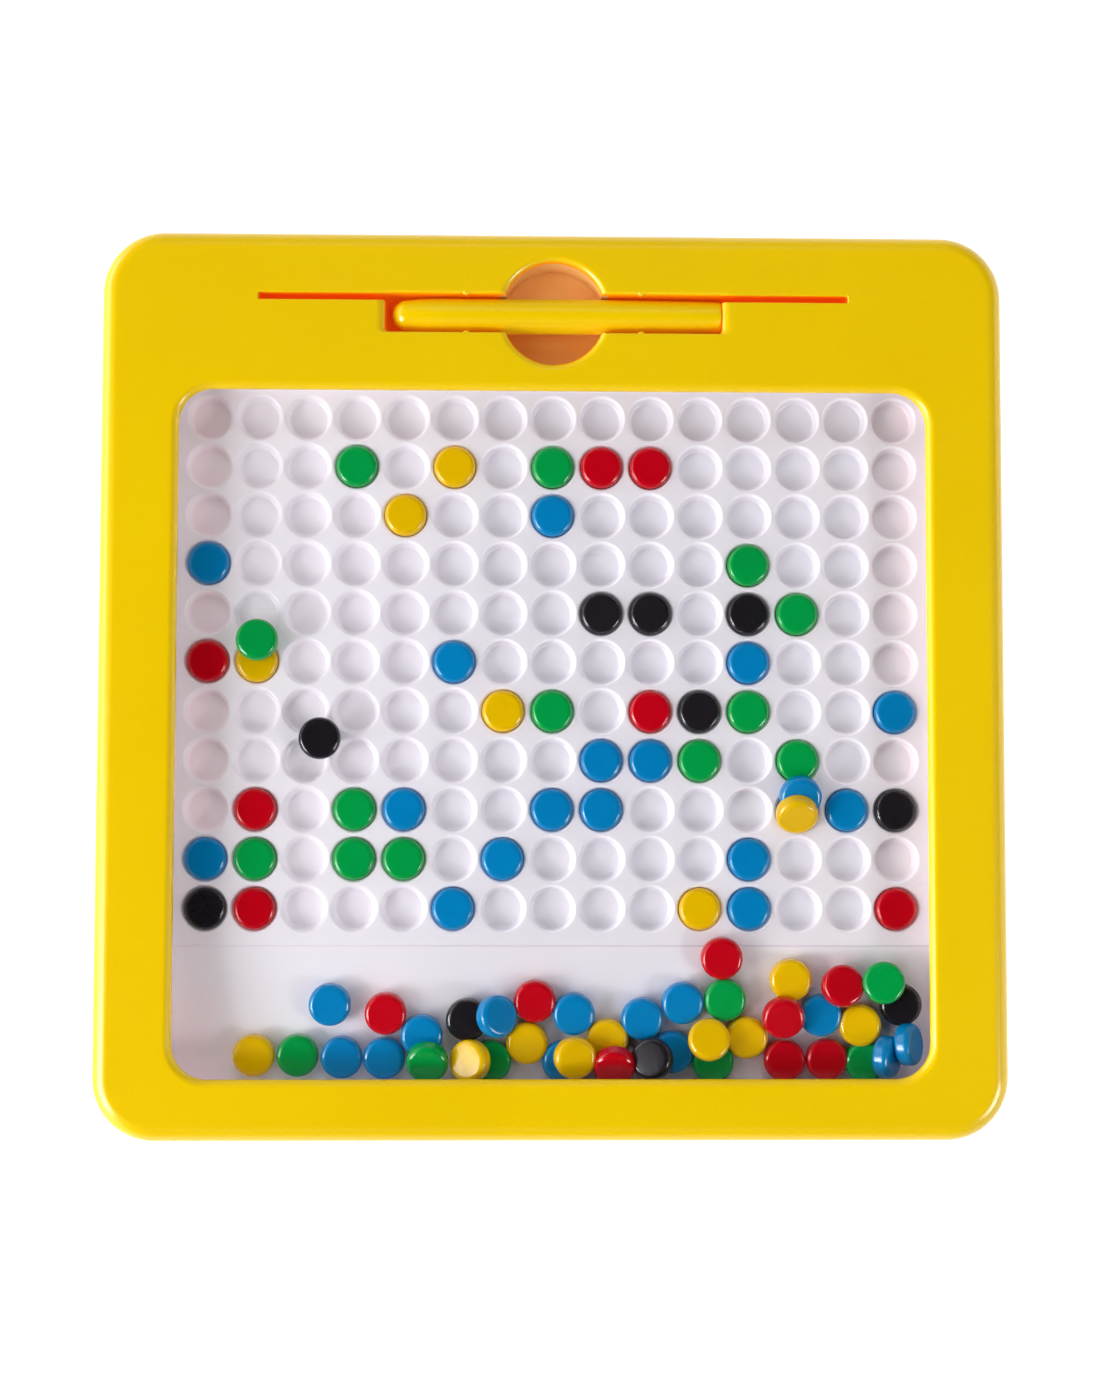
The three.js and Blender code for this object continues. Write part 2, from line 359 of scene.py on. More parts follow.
case_yellow = moulded(
    "case_yellow_plastic",
    (0.83, 0.55, 0.0),
    (0.805, 0.527, 0.0),
    0.2,
    # Painted shade and light: a deep orange in the pockets and a darker orange on the well's wall,
    # each with a painted glow, stand in for the shade and warm light in these recesses.
    painted_light_zones=[
        (in_pockets, (0.96, 0.29, 0.0), (0.12, 0.014, 0.001)),
        (in_well, (0.88, 0.54, 0.19), (0.02, 0.006, 0.0)),
    ],
)
pen_yellow = moulded(
    "pen_yellow_plastic", (0.885, 0.592, 0.0), (0.865, 0.572, 0.0), 0.18, grain=0.02, shift=0.3
)
panel_white = moulded(
    "panel_white_plastic",
    (0.88, 0.83, 0.885),
    (0.86, 0.81, 0.865),
    0.34,
    # Painted light and shade: lighter lips, floors and left half, warm-tinted sides and an orange
    # floor under the well, each with a painted glow.
    painted_light_zones=[
        (on_lips, (0.92, 0.88, 0.93), (0.06, 0.058, 0.06)),
        (on_floors, (0.86, 0.83, 0.89), (0.03, 0.029, 0.031)),
        (to_left, (0.90, 0.85, 0.905), (0.05, 0.048, 0.05)),
        (at_sides, (0.88, 0.74, 0.78), (0.09, 0.080, 0.083)),
        (under_header, (0.97, 0.54, 0.16), (0.08, 0.01, 0.0)),
        (under_far_side, (0.97, 0.58, 0.20), (0.16, 0.06, 0.018)),
    ],
)
clear_acrylic = clear_sheet()
plated_steel = bright_steel()
ferrite = sintered_magnet()
token_plastic = {
    colour: moulded(f"token_{colour}_plastic", light, deep, 0.13, 0.05, shift)
    for shift, colour, light, deep in [
        (1.0, "red", (0.60, 0.001, 0.010), (0.55, 0.001, 0.009)),
        (2.0, "green", (0.001, 0.36, 0.065), (0.001, 0.33, 0.058)),
        (3.0, "blue", (0.001, 0.235, 0.55), (0.001, 0.215, 0.51)),
        (4.0, "yellow", (0.86, 0.52, 0.0), (0.83, 0.495, 0.0)),
        (5.0, "black", (0.017, 0.014, 0.018), (0.013, 0.011, 0.014)),
    ]
}


# ---- Shapes ----
def outline(edges, corner, outset=0.0, end_outset=None, steps=14):
    """A rectangle with round corners, anticlockwise. It grows by outset at its long sides, and by
    end_outset, if that is given, at its two ends."""
    ends = outset if end_outset is None else end_outset
    left, right, front, back = edges
    left, right, front, back = left - ends, right + ends, front - outset, back + outset
    radius = max(corner + min(outset, ends), 0.05)
    centres = [
        (right - radius, front + radius, -90),
        (right - radius, back - radius, 0),
        (left + radius, back - radius, 90),
        (left + radius, front + radius, 180),
    ]
    points = []
    for x, y, start in centres:
        for step in range(steps + 1):
            angle = math.radians(start + 90 * step / steps)
            points.append((x + radius * math.cos(angle), y + radius * math.sin(angle)))
    return points


def circle(x, y, radius, steps=72):
    turns = [math.tau * step / steps for step in range(steps)]
    return [(x + radius * math.cos(a), y + radius * math.sin(a)) for a in turns]


def rounding(radius, steps=8):
    """(drawn in, risen) from the foot of a quarter round to its top, as parts of radius."""
    quarter = [math.pi / 2 * step / steps for step in range(steps + 1)]
    return [(radius * (1 - math.cos(a)), radius * math.sin(a)) for a in quarter]


def link(name, mesh):
    piece = bpy.data.objects.new(name, mesh)
    bpy.context.scene.collection.objects.link(piece)
    return piece


def finished(name, mesh):
    """A piece from a mesh that is complete."""
    data = bpy.data.meshes.new(name)
    mesh.to_mesh(data)
    mesh.free()
    return link(name, data)


def stack(name, layers):
    """One closed piece through equal outlines, given bottom to top as (points, height)."""
    mesh = bmesh.new()
    loops = [[mesh.verts.new((x, y, height)) for x, y in points] for points, height in layers]
    for low, high in zip(loops, loops[1:]):
        for i in range(len(low)):
            j = (i + 1) % len(low)
            mesh.faces.new((low[i], low[j], high[j], high[i]))
    mesh.faces.new(list(reversed(loops[0])))
    mesh.faces.new(loops[-1])
    return finished(name, mesh)


def turned(name, profile, steps=48):
    """One closed piece turned round Z from (radius, height) pairs that begin and end on it."""
    mesh = bmesh.new()
    foot = mesh.verts.new((0, 0, profile[0][1]))
    tip = mesh.verts.new((0, 0, profile[-1][1]))
    loops = [
        [mesh.verts.new((x, y, height)) for x, y in circle(0, 0, radius, steps)]
        for radius, height in profile[1:-1]
    ]
    for i in range(steps):
        j = (i + 1) % steps
        mesh.faces.new((foot, loops[0][j], loops[0][i]))
        mesh.faces.new((tip, loops[-1][i], loops[-1][j]))
        for low, high in zip(loops, loops[1:]):
            mesh.faces.new((low[i], low[j], high[j], high[i]))
    return finished(name, mesh)


def rod(name, x, y, radius, bottom, top, soft=0.3, steps=40):
    """An upright rod with softened ends."""
    heights = [(soft, bottom), (0, bottom + soft), (0, top - soft), (soft, top)]
    return stack(name, [(circle(x, y, radius - drawn, steps), z) for drawn, z in heights])


def settle(piece):
    """Turns a piece's modifiers into plain mesh."""
    bpy.context.view_layer.update()
    seen = piece.evaluated_get(bpy.context.evaluated_depsgraph_get())
    mesh = bpy.data.meshes.new_from_object(seen)
    piece.modifiers.clear()
    piece.data = mesh
    return piece


def carve(piece, *steps):
    """Joins or cuts a piece with others, in order, from ("UNION" or "DIFFERENCE", other) pairs."""
    for how, other in steps:
        cut = piece.modifiers.new("carve", "BOOLEAN")
        cut.operation, cut.solver, cut.object = how, "EXACT", other
    settle(piece)
    for _, other in steps:
        bpy.data.objects.remove(other)
    return piece


def smooth(piece, sharpest=34, flats_lead=True):
    """Shades curves smoothly, keeps real edges, and lets wide flat faces stay flat."""
    piece.data.shade_smooth()
    piece.data.set_sharp_from_angle(angle=math.radians(sharpest))
    if flats_lead:
        flats = piece.modifiers.new("flats", "WEIGHTED_NORMAL")
        flats.keep_sharp = True
        settle(piece)
    return piece


def move(piece, matrix):
    piece.data.transform(matrix)
    return piece


def to_metres(piece):
    return move(piece, Matrix.Scale(MM, 4))


def show(piece, body, slot, finish, *nodes):
    """Gives a finished piece its material and its body, and hides the CAD nodes it stands for. The
    slot is not used.
    """
    if finish:
        piece.data.materials.clear()
        piece.data.materials.append(finish)
    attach(piece, body)
    if nodes:
        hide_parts(*nodes)
    return piece


# ---- Case ----
def board(inset, height):
    half = BOARD_HALF
    return outline((-half, half, -half, half), BOARD_CORNER, -inset, steps=20), height


def flared(name, edges, corner, floor, side, end=None, deep=None, foot=0.0, steps=14):
    """A cutter for an opening whose rim is rounded over: by side along it and by end at its ends,
    with a round as deep as deep, and a softened floor."""
    end = side if end is None else end
    deep = side if deep is None else deep
    layers = []
    if foot:
        layers += [
            (outline(edges, corner, -foot + drawn, steps=steps), floor + foot - risen)
            for risen, drawn in reversed(rounding(foot, 4))
        ]
    else:
        layers.append((outline(edges, corner, steps=steps), floor))
    for drawn, risen in rounding(1, 9):
        ring = outline(edges, corner, side * drawn, end * drawn, steps=steps)
        layers.append((ring, BOARD_TOP - deep + deep * risen))
    layers.append((outline(edges, corner, side, end, steps=steps), BOARD_TOP + 1))
    return stack(name, layers)


def flared_well():
    rim = 1.9
    layers = [(circle(0, SLOT_Y, WELL, 96), PANEL_TOP - 1)]
    for drawn, risen in rounding(rim, 9):
        layers.append((circle(0, SLOT_Y, WELL + drawn, 96), BOARD_TOP - rim + risen))
    layers.append((circle(0, SLOT_Y, WELL + rim, 96), BOARD_TOP + 1))
    return stack("well", layers)


def front_frame():
    """The yellow face: a rounded tray upside down, with the window, the pen's snap-in slot, the
    finger well and the card slot let into it."""
    bottom = PARTING + FIT_GAP
    layers = [board(0.3, bottom), board(0.08, bottom + 0.08), board(0, bottom + 0.3)]
    layers += [board(drawn, BOARD_TOP - 4.5 + risen) for drawn, risen in rounding(4.5, 12)]
    case = stack("front_frame_shell", layers)
    inside = stack("inside", [board(WALL, bottom - 1), board(WALL, FACE_UNDERSIDE)])
    low, top = PANEL_TOP + FIT_GAP, FACE_UNDERSIDE + 1
    around = POCKET_WALL
    slot_pocket = stack("pocket", [(outline(SLOT, 1.2, around), z) for z in (low, top)])
    card_pocket = stack("card_pocket", [(outline(CARD_SLOT, 0.5, around), z) for z in (13.2, top)])
    tube = rod("tube", 0, SLOT_Y, WELL + around, low, top, 0.1, 96)
    posts = [rod("post", x, y, BOSS, bottom, top) for x, y in SCREWS]
    deep = FACE_UNDERSIDE - 1
    pilots = [rod("pilot", x, y, PILOT, bottom - 1, deep, 0.1, 24) for x, y in SCREWS]
    window = flared("window", WINDOW, WINDOW_CORNER, FACE_UNDERSIDE - 1, 2.1, steps=20)
    slot = flared("slot", SLOT, 1.2, 14, 0.8, end=2.6, deep=1.5, foot=0.5, steps=8)
    card = flared("card", CARD_SLOT, 0.3, BOARD_TOP - 9, 0.35, steps=4)
    walls = (slot_pocket, card_pocket, tube, *posts)
    carve(case, ("DIFFERENCE", inside), *[("UNION", wall) for wall in walls])
    openings = (window, card, slot, flared_well(), *pilots)
    carve(case, *[("DIFFERENCE", opening) for opening in openings])
    nubs = []
    for x in (-23.3, 23.3):
        for y in (SLOT[2] - 0.7, SLOT[3] + 0.7):
            nubs.append(rod("nub", x, y, 1, FACE_UNDERSIDE - 0.1, BOARD_TOP - 0.1, 0.35, 24))
    carve(case, *[("UNION", nub) for nub in nubs])
    return to_metres(smooth(case))


def back_cover():
    """The yellow back: a shallow rounded tray with screw bosses and posts under the panel."""
    layers = [board(2.5 - drawn, 2.5 - risen) for risen, drawn in reversed(rounding(2.5, 8))]
    layers += [board(0, PARTING - 0.3), board(0.08, PARTING - 0.08), board(0.3, PARTING)]
    case = stack("back_cover_shell", layers)
    inside = stack("inside", [board(WALL, 2), board(WALL, PARTING + 1)])
    posts = [rod("post", x, y, 4.6, 1, PARTING) for x, y in SCREWS]
    posts += [rod("post", x, y, 4, 1, 7.1) for x in (-60, 0, 60) for y in (-40, 20, 95)]
    holes = [rod("hole", x, y, 3.3, -1, 4, 0.1) for x, y in SCREWS]
    holes += [rod("pilot", x, y, PILOT, 3, PARTING + 1, 0.1, 24) for x, y in SCREWS]
    carve(case, ("DIFFERENCE", inside), *[("UNION", post) for post in posts])
    carve(case, *[("DIFFERENCE", hole) for hole in holes])
    return to_metres(smooth(case))


# ---- Repeats ----
def node_group(name, inputs):
    """A Geometry Nodes tree with these named inputs. Returns its graph, and a wire for each."""
    tree = bpy.data.node_groups.new(name, "GeometryNodeTree")
    for label, kind in inputs.items():
        tree.interface.new_socket(label, in_out="INPUT", socket_type="NodeSocket" + kind)
    tree.interface.new_socket("Result", in_out="OUTPUT", socket_type="NodeSocketGeometry")
    graph = Graph(tree)
    given = graph.node("NodeGroupInput")
    return graph, {label: Wire(graph, given.outputs[label]) for label in inputs}


def end_group(graph, geometry, finish):
    """Ends a tree in Realize Instances and Set Material."""
    real = graph.wire("GeometryNodeRealizeInstances", {"Geometry": geometry})
    merged = graph.wire("GeometryNodeMergeByDistance", {"Geometry": real, "Distance": 2e-6})
    painted = graph.wire("GeometryNodeSetMaterial", {"Geometry": merged, "Material": finish})
    graph.node("NodeGroupOutput", {"Result": painted})
    return graph.tree


def scatter_tree():
    """A copy of Original on each point of the piece, turned by the point's own "turn"."""
    graph, given = node_group(
        "placed_copies", {"Places": "Geometry", "Original": "Object", "Finish": "Material"}
    )
    turn = graph.wire("GeometryNodeInputNamedAttribute", {"Name": "turn"}, data_type="FLOAT_VECTOR")
    rotation = graph.wire("FunctionNodeEulerToRotation", {0: turn})
    original = graph.wire("GeometryNodeObjectInfo", {"Object": given["Original"]}, out="Geometry")
    copies = graph.wire(
        "GeometryNodeInstanceOnPoints",
        {"Points": given["Places"], "Instance": original, "Rotation": rotation},
    )
    return end_group(graph, copies, given["Finish"])


def dimple_tree():
    """Tile on every point of a grid of Columns by Rows, Pitch apart, about Middle."""
    graph, given = node_group(
        "dimple_field",
        {
            "Start": "Geometry",
            "Tile": "Object",
            "Finish": "Material",
            "Columns": "Int",
            "Rows": "Int",
            "Pitch": "Float",
            "Middle": "Vector",
        },
    )
    size_x = (given["Columns"] - 1) * given["Pitch"]
    size_y = (given["Rows"] - 1) * given["Pitch"]
    grid = graph.wire(
        "GeometryNodeMeshGrid",
        {
            "Size X": size_x,
            "Size Y": size_y,
            "Vertices X": given["Columns"],
            "Vertices Y": given["Rows"],
        },
    )
    placed = graph.wire(
        "GeometryNodeTransform", {"Geometry": grid, "Translation": given["Middle"]}
    )
    tile = graph.wire("GeometryNodeObjectInfo", {"Object": given["Tile"]}, out="Geometry")
    copies = graph.wire("GeometryNodeInstanceOnPoints", {"Points": placed, "Instance": tile})
    return end_group(graph, copies, given["Finish"])


def grow(piece, tree, **given):
    """Puts a Geometry Nodes tree on a piece with these named inputs."""
    run = piece.modifiers.new(tree.name, "NODES")
    run.node_group = tree
    for item in tree.interface.items_tree:
        if item.in_out == "INPUT" and item.name in given:
            run[item.identifier] = given[item.name]
    return piece


def places(name, spots):
    """A piece of loose points from (x, y, z, turn) rows in millimetres and an Euler turn."""
    mesh = bpy.data.meshes.new(name)
    mesh.from_pydata([[v * MM for v in spot[:3]] for spot in spots], [], [])
    turn = mesh.attributes.new("turn", "FLOAT_VECTOR", "POINT")
    turn.data.foreach_set("vector", [v for spot in spots for v in spot[3]])
    return link(name, mesh)


placed_copies = scatter_tree()
dimple_field = dimple_tree()


# ---- Dimpled panel ----
def dimple_tile():
    """One dimple in its square of the panel: floor, wall and a softly rounded lip."""
    profile = [(2.6, DIMPLE_FLOOR), (4.7, DIMPLE_FLOOR), (5.02, DIMPLE_FLOOR + 0.07)]
    profile += [(5.27, DIMPLE_FLOOR + 0.24), (5.46, 9.05), (5.58, 9.6), (5.65, 10.2)]
    profile += [(DIMPLE_RADIUS, 10.7), (5.79, 11.1), (5.92, 11.45), (6.08, 11.7), (6.27, 11.89)]
    profile += [(6.48, PANEL_TOP)]
    steps = 32
    turns = [math.tau * step / steps for step in range(steps)]
    mesh = bmesh.new()
    floor = mesh.verts.new((0, 0, DIMPLE_FLOOR))
    loops = [
        [mesh.verts.new((r * math.cos(a), r * math.sin(a), z)) for a in turns] for r, z in profile
    ]
    square = []
    for a in turns:
        reach = PITCH / 2 / max(abs(math.cos(a)), abs(math.sin(a)))
        square.append(mesh.verts.new((reach * math.cos(a), reach * math.sin(a), PANEL_TOP)))
    loops.append(square)
    for i in range(steps):
        j = (i + 1) % steps
        mesh.faces.new((floor, loops[0][i], loops[0][j]))
        for low, high in zip(loops, loops[1:]):
            mesh.faces.new((low[i], high[i], high[j], low[j]))
    return to_metres(finished("dimple_tile", mesh))


def dimple_slab():
    """The dimples in one closed slab that reaches from the crease to beyond the pen's pocket."""
    slab = link("dimple_slab", bpy.data.meshes.new("dimple_slab"))
    tile = dimple_tile()
    grow(
        slab,
        dimple_field,
        Tile=tile,
        Finish=panel_white,
        Columns=COLUMNS,
        Rows=ROWS,
        Pitch=PITCH * MM,
        Middle=(0, GRID_Y * MM, 0),
    )
    settle(slab)
    bpy.data.objects.remove(tile)
    move(slab, Matrix.Scale(1 / MM, 4))
    across, along = COLUMNS * PITCH / 2, ROWS * PITCH / 2
    mesh = bmesh.new()
    mesh.from_mesh(slab.data)
    for vert in [v for v in mesh.verts if v.is_boundary]:
        if abs(abs(vert.co.x) - across) < 0.01:
            vert.co.x = math.copysign(TRAY_OUTLINE[1], vert.co.x)
        if abs(vert.co.y - GRID_Y + along) < 0.01:
            vert.co.y = CREASE
        if abs(vert.co.y - GRID_Y - along) < 0.01:
            vert.co.y = PANEL_BACK
    edges = [e for e in mesh.edges if e.is_boundary]
    step_down = 0.12
    for depth in (step_down, PANEL_TOP - step_down - PANEL_UNDERSIDE):
        grown = bmesh.ops.extrude_edge_only(mesh, edges=edges)["geom"]
        for vert in [g for g in grown if isinstance(g, bmesh.types.BMVert)]:
            vert.co.z -= depth
        edges = [e for e in mesh.edges if e.is_boundary]
    bmesh.ops.contextual_create(mesh, geom=edges)
    bmesh.ops.recalc_face_normals(mesh, faces=mesh.faces)
    mesh.to_mesh(slab.data)
    mesh.free()
    return slab


def tray():
    """The sloping tray below the crease, with the upright rim that runs round panel and tray."""
    bottom, ramp_end = TRAY_END - 2.7, TRAY_OUTLINE[2]
    mesh = bmesh.new()
    section = [(ramp_end, bottom), (ramp_end, TRAY_END), (CREASE - 0.4, PANEL_TOP - 0.12)]
    section += [(CREASE - 0.15, PANEL_TOP - 0.45), (CREASE + 1, PANEL_TOP - 0.6)]
    section += [(CREASE + 1, PANEL_UNDERSIDE), (CREASE, PANEL_UNDERSIDE)]
    sides = [[mesh.verts.new((x, y, z)) for y, z in section] for x in TRAY_OUTLINE[:2]]
    for i in range(len(section)):
        j = (i + 1) % len(section)
        mesh.faces.new((sides[0][i], sides[0][j], sides[1][j], sides[1][i]))
    mesh.faces.new(sides[0])
    mesh.faces.new(list(reversed(sides[1])))
    bmesh.ops.recalc_face_normals(mesh, faces=mesh.faces)
    made = finished("tray_floor", mesh)
    bounds = stack("bounds", [(outline(TRAY_OUTLINE, TRAY_CORNER), z) for z in (0, 30)])
    trim = made.modifiers.new("trim", "BOOLEAN")
    trim.operation, trim.solver, trim.object = "INTERSECT", "EXACT", bounds
    settle(made)
    bpy.data.objects.remove(bounds)
    soft = 0.2
    outer = [(0, bottom), (0, RIM_TOP - soft), (soft, RIM_TOP)]
    inner = [(RIM_WALL, bottom - 1), (RIM_WALL, RIM_TOP - soft)]
    inner += [(RIM_WALL - soft, RIM_TOP), (RIM_WALL - soft, RIM_TOP + 0.6)]
    rim, hollow = (
        stack(name, [(outline(TRAY_OUTLINE, TRAY_CORNER, -drawn), z) for drawn, z in layers])
        for name, layers in (("rim", outer), ("hollow", inner))
    )
    carve(rim, ("DIFFERENCE", hollow))
    return carve(made, ("UNION", rim))


def dimple_panel():
    """The white moulding: dimples, tray and rim in one piece."""
    slab, floor = dimple_slab(), tray()
    mesh = bmesh.new()
    mesh.from_mesh(slab.data)
    mesh.from_mesh(floor.data)
    mesh.to_mesh(slab.data)
    mesh.free()
    bpy.data.objects.remove(floor)
    slab.name = "dimple_panel_moulding"
    return to_metres(smooth(slab, 45))


# ---- Tokens ----
def token_profile():
    """(radius, height) up one side: a flat face each way with a round edge down to an upright
    band."""
    reach, rise = TOKEN_RADIUS - TOKEN_FACE, TOKEN_HALF - TOKEN_BAND
    half = [
        (TOKEN_FACE + reach * math.cos(a), TOKEN_BAND + rise * math.sin(a))
        for a in [math.pi / 2 * step / 10 for step in range(11)]
    ]
    half += [(2, TOKEN_HALF), (0, TOKEN_HALF)]
    return [(r, -z) for r, z in reversed(half)] + half


def token_model():
    model = turned("token_model", token_profile())
    return to_metres(smooth(model, 40))


def token_skin():
    """Points over the upper side of a token lying at the origin, in millimetres. They stop short
    of its rim, so that tokens side by side don't lift each other."""
    radii, heights = zip(*sorted(pair for pair in token_profile() if pair[1] > 0))
    points, apart = [], 0.35
    for radius in np.arange(0.0, TOKEN_RADIUS - 0.4, apart):
        height = float(np.interp(radius, radii, heights))
        for angle in np.arange(0, math.tau, apart / max(radius, apart)):
            points.append((radius * math.cos(angle), radius * math.sin(angle), height))
    return np.array(points)


def lean(tilt, towards):
    """The turn of a token whose face leans by tilt degrees towards a heading, 0 for +X."""
    axis = Vector((-math.sin(math.radians(towards)), math.cos(math.radians(towards)), 0))
    return Matrix.Rotation(math.radians(tilt), 3, axis)


class Ground:
    """Heights under the clear cover on a fine grid, raised by each token that settles there."""

    CELL, REACH = 0.4, 110

    def __init__(self, seated):
        side = np.arange(-self.REACH, self.REACH, self.CELL)
        x, y = np.meshgrid(side, side, indexing="ij")
        slope = (PANEL_TOP - TRAY_END) / (CREASE - TRAY_OUTLINE[2])
        self.height = np.where(y < CREASE, PANEL_TOP + (y - CREASE) * slope, PANEL_TOP)
        for row in range(ROWS):
            for column in range(COLUMNS):
                cx, cy = dimple_spot(row, column)
                inside = np.hypot(x - cx, y - cy)
                self.height[inside < DIMPLE_RADIUS - self.CELL / 2] = DIMPLE_FLOOR
        for spot in seated:
            self.add(np.array(spot) + SKIN)

    def cells(self, points):
        return tuple(((points[:, :2] + self.REACH) / self.CELL).astype(int).T)

    def add(self, points):
        np.maximum.at(self.height, self.cells(points), points[:, 2])

    def drop(self, x, y, turn):
        """Lowers a turned token straight down until it touches, under the clear cover, and returns
        its height."""
        upper, lower = (SKIN * (1, 1, side) @ np.array(turn).T + (x, y, 0) for side in (1, -1))
        rest = (self.height[self.cells(lower)] - lower[:, 2]).max() + 0.03
        rest = min(rest, COVER - 0.1 - upper[:, 2].max())
        self.add(upper + (0, 0, rest))
        return rest


def dimple_spot(row, column):
    """The middle of a dimple, counting rows from the pen's side and columns from the left."""
    return (column - (COLUMNS - 1) / 2) * PITCH, GRID_Y + ((ROWS - 1) / 2 - row) * PITCH


SKIN = token_skin()

# Spare tokens in the order they settled: colour, x, y, lean in degrees, and its heading.
FLAT = (7.7, -90)  # lying on the tray's slope
SPARE = [
    # on the tray's floor
    ("blue", -58.9, -85.3, *FLAT),
    ("red", -44.1, -87.7, *FLAT),
    ("yellow", -79.1, -98.9, *FLAT),
    ("green", -67.5, -98.9, *FLAT),
    ("blue", -55.8, -99.4, *FLAT),
    ("blue", -44.5, -99.6, *FLAT),
    ("blue", -34.5, -93.6, *FLAT),
    ("black", -22.5, -89.3, *FLAT),
    ("red", -4.5, -84.4, *FLAT),
    ("green", -16.2, -100.4, *FLAT),
    ("yellow", -6.5, -95.6, *FLAT),
    ("blue", 5.9, -87.8, *FLAT),
    ("blue", 3.1, -100.5, *FLAT),
    ("yellow", 14.9, -94.7, *FLAT),
    ("blue", 24.1, -89.1, *FLAT),
    ("blue", 32.4, -98.0, *FLAT),
    ("blue", 34.9, -84.9, *FLAT),
    ("red", 45.2, -72.9, *FLAT),
    ("green", 46.2, -84.0, *FLAT),
    ("green", 43.1, -100.6, *FLAT),
    ("yellow", 52.1, -94.1, *FLAT),
    ("yellow", 63.7, -78.7, *FLAT),
    ("red", 62.3, -100.2, *FLAT),
    ("blue", 71.8, -88.2, *FLAT),
    ("red", 73.6, -100.0, *FLAT),
    ("black", 93.2, -85.3, *FLAT),
    ("green", 84.0, -100.6, *FLAT),
    # on top of others
    ("green", -32.9, -100.2, 27, -93),
    ("blue", -14.6, -88.2, 33, 6),
    ("yellow", -21.6, -99.9, 31, 171),
    ("yellow", 6.1, -99.0, 14, -40),
    ("red", 16.6, -101.2, 33, -92),
    ("black", 26.6, -99.4, 26, 166),
    ("yellow", 41.7, -94.4, 14, 88),
    ("red", 61.4, -88.4, 17, -95),
    ("red", 77.2, -80.2, 14, 60),
    ("green", 88.0, -79.3, 11, 120),
    ("yellow", 82.4, -90.8, 10, -150),
    ("blue", 89.2, -98.9, 54, -5),
    ("blue", 94.9, -95.7, 56, 5),
    ("green", -78.8, 11.4, 6, 80),
    ("black", -62.0, -14.7, 1, 0),
    ("blue", 66.4, -29.9, 20, -90),
    ("yellow", 65.4, -34.6, 40, -90),
]


def tokens():
    """Every token: those seated in dimples each on its own body, and the spare ones on the case."""
    chance = random.Random(11)
    model = token_model()
    seated = []
    for node in sorted(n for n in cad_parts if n.startswith("token_")):
        body, _, colour = node.rpartition("_")
        low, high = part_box(node)
        x, y, z = (low + high) / 2 / MM
        turn = lean(chance.uniform(0, 1.2), chance.uniform(0, 360)).to_euler()
        piece = places(body + "_piece", [(x, y, z, turn)])
        grow(piece, placed_copies, Original=model, Finish=token_plastic[colour])
        seated.append((piece, body, colour, node, (x, y, z)))
    ground = Ground([spot for *_, spot in seated])
    rest = {}
    for colour, x, y, tilt, towards in SPARE:
        turn = lean(tilt, towards)
        height = ground.drop(x, y, turn)
        rest.setdefault(colour, []).append((x, y, height, turn.to_euler()))
    loose = []
    for colour, spots in rest.items():
        piece = places(f"spare_tokens_{colour}", spots)
        grow(piece, placed_copies, Original=model, Finish=token_plastic[colour])
        loose.append((piece, colour))
    for piece in [row[0] for row in seated + loose]:
        settle(piece)
    bpy.data.objects.remove(model)
    for piece, body, colour, node, _ in seated:
        show(piece, body, f"token_{colour}", None, node)
    for piece, colour in loose:
        show(piece, "root", f"token_{colour}", None)


# ---- Small pieces ----
def case_screw():
    """A pan-head self-tapping screw, head down, with a cross recess and a ridged shaft."""
    profile = [(0, 2.0), (1.5, 2.0), (2.1, 2.12), (2.55, 2.4), (2.76, 2.8), (2.8, 3.4), (2.74, 3.7)]
    profile += [(1.4, 3.7), (1.2, 4.0)]
    height, root, crest = 4.2, 1.14, 1.38
    while height < 16.6:
        profile += [(root, height), (crest, height + 0.42), (crest, height + 0.54)]
        profile += [(root, height + 0.96)]
        height += 1.1
    profile += [(0.9, 17.3), (0.3, 17.95), (0, 18.0)]
    screw = turned("case_screw_model", profile, 32)
    arms = []
    for across, along in ((0.34, 1.5), (1.5, 0.34)):
        wide = outline((-across, across, -along, along), 0.1, steps=2)
        narrow = outline((-across * 0.6, across * 0.6, -along * 0.6, along * 0.6), 0.1, steps=2)
        arms.append(stack("arm", [(wide, 1.5), (wide, 2.0), (narrow, 3.2)]))
    carve(screw, *[("DIFFERENCE", arm) for arm in arms])
    return to_metres(smooth(screw))


def screws():
    model = case_screw()
    chance = random.Random(4)
    spots = [(x, y, 0, (0, 0, chance.uniform(0, math.tau))) for x, y in SCREWS]
    piece = places("case_screws", spots)
    grow(piece, placed_copies, Original=model, Finish=plated_steel)
    settle(piece)
    bpy.data.objects.remove(model)
    nodes = [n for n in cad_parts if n.startswith("case_screw_")]
    show(piece, "root", "screw_steel", None, *sorted(nodes))


def along_pen(x=0.0, z=19.0):
    """Turns a piece made upright so that it lies along the pen's slot."""
    lie = Matrix.Rotation(math.radians(90), 4, "Y")
    return Matrix.Translation((x, SLOT_Y, z)) @ lie


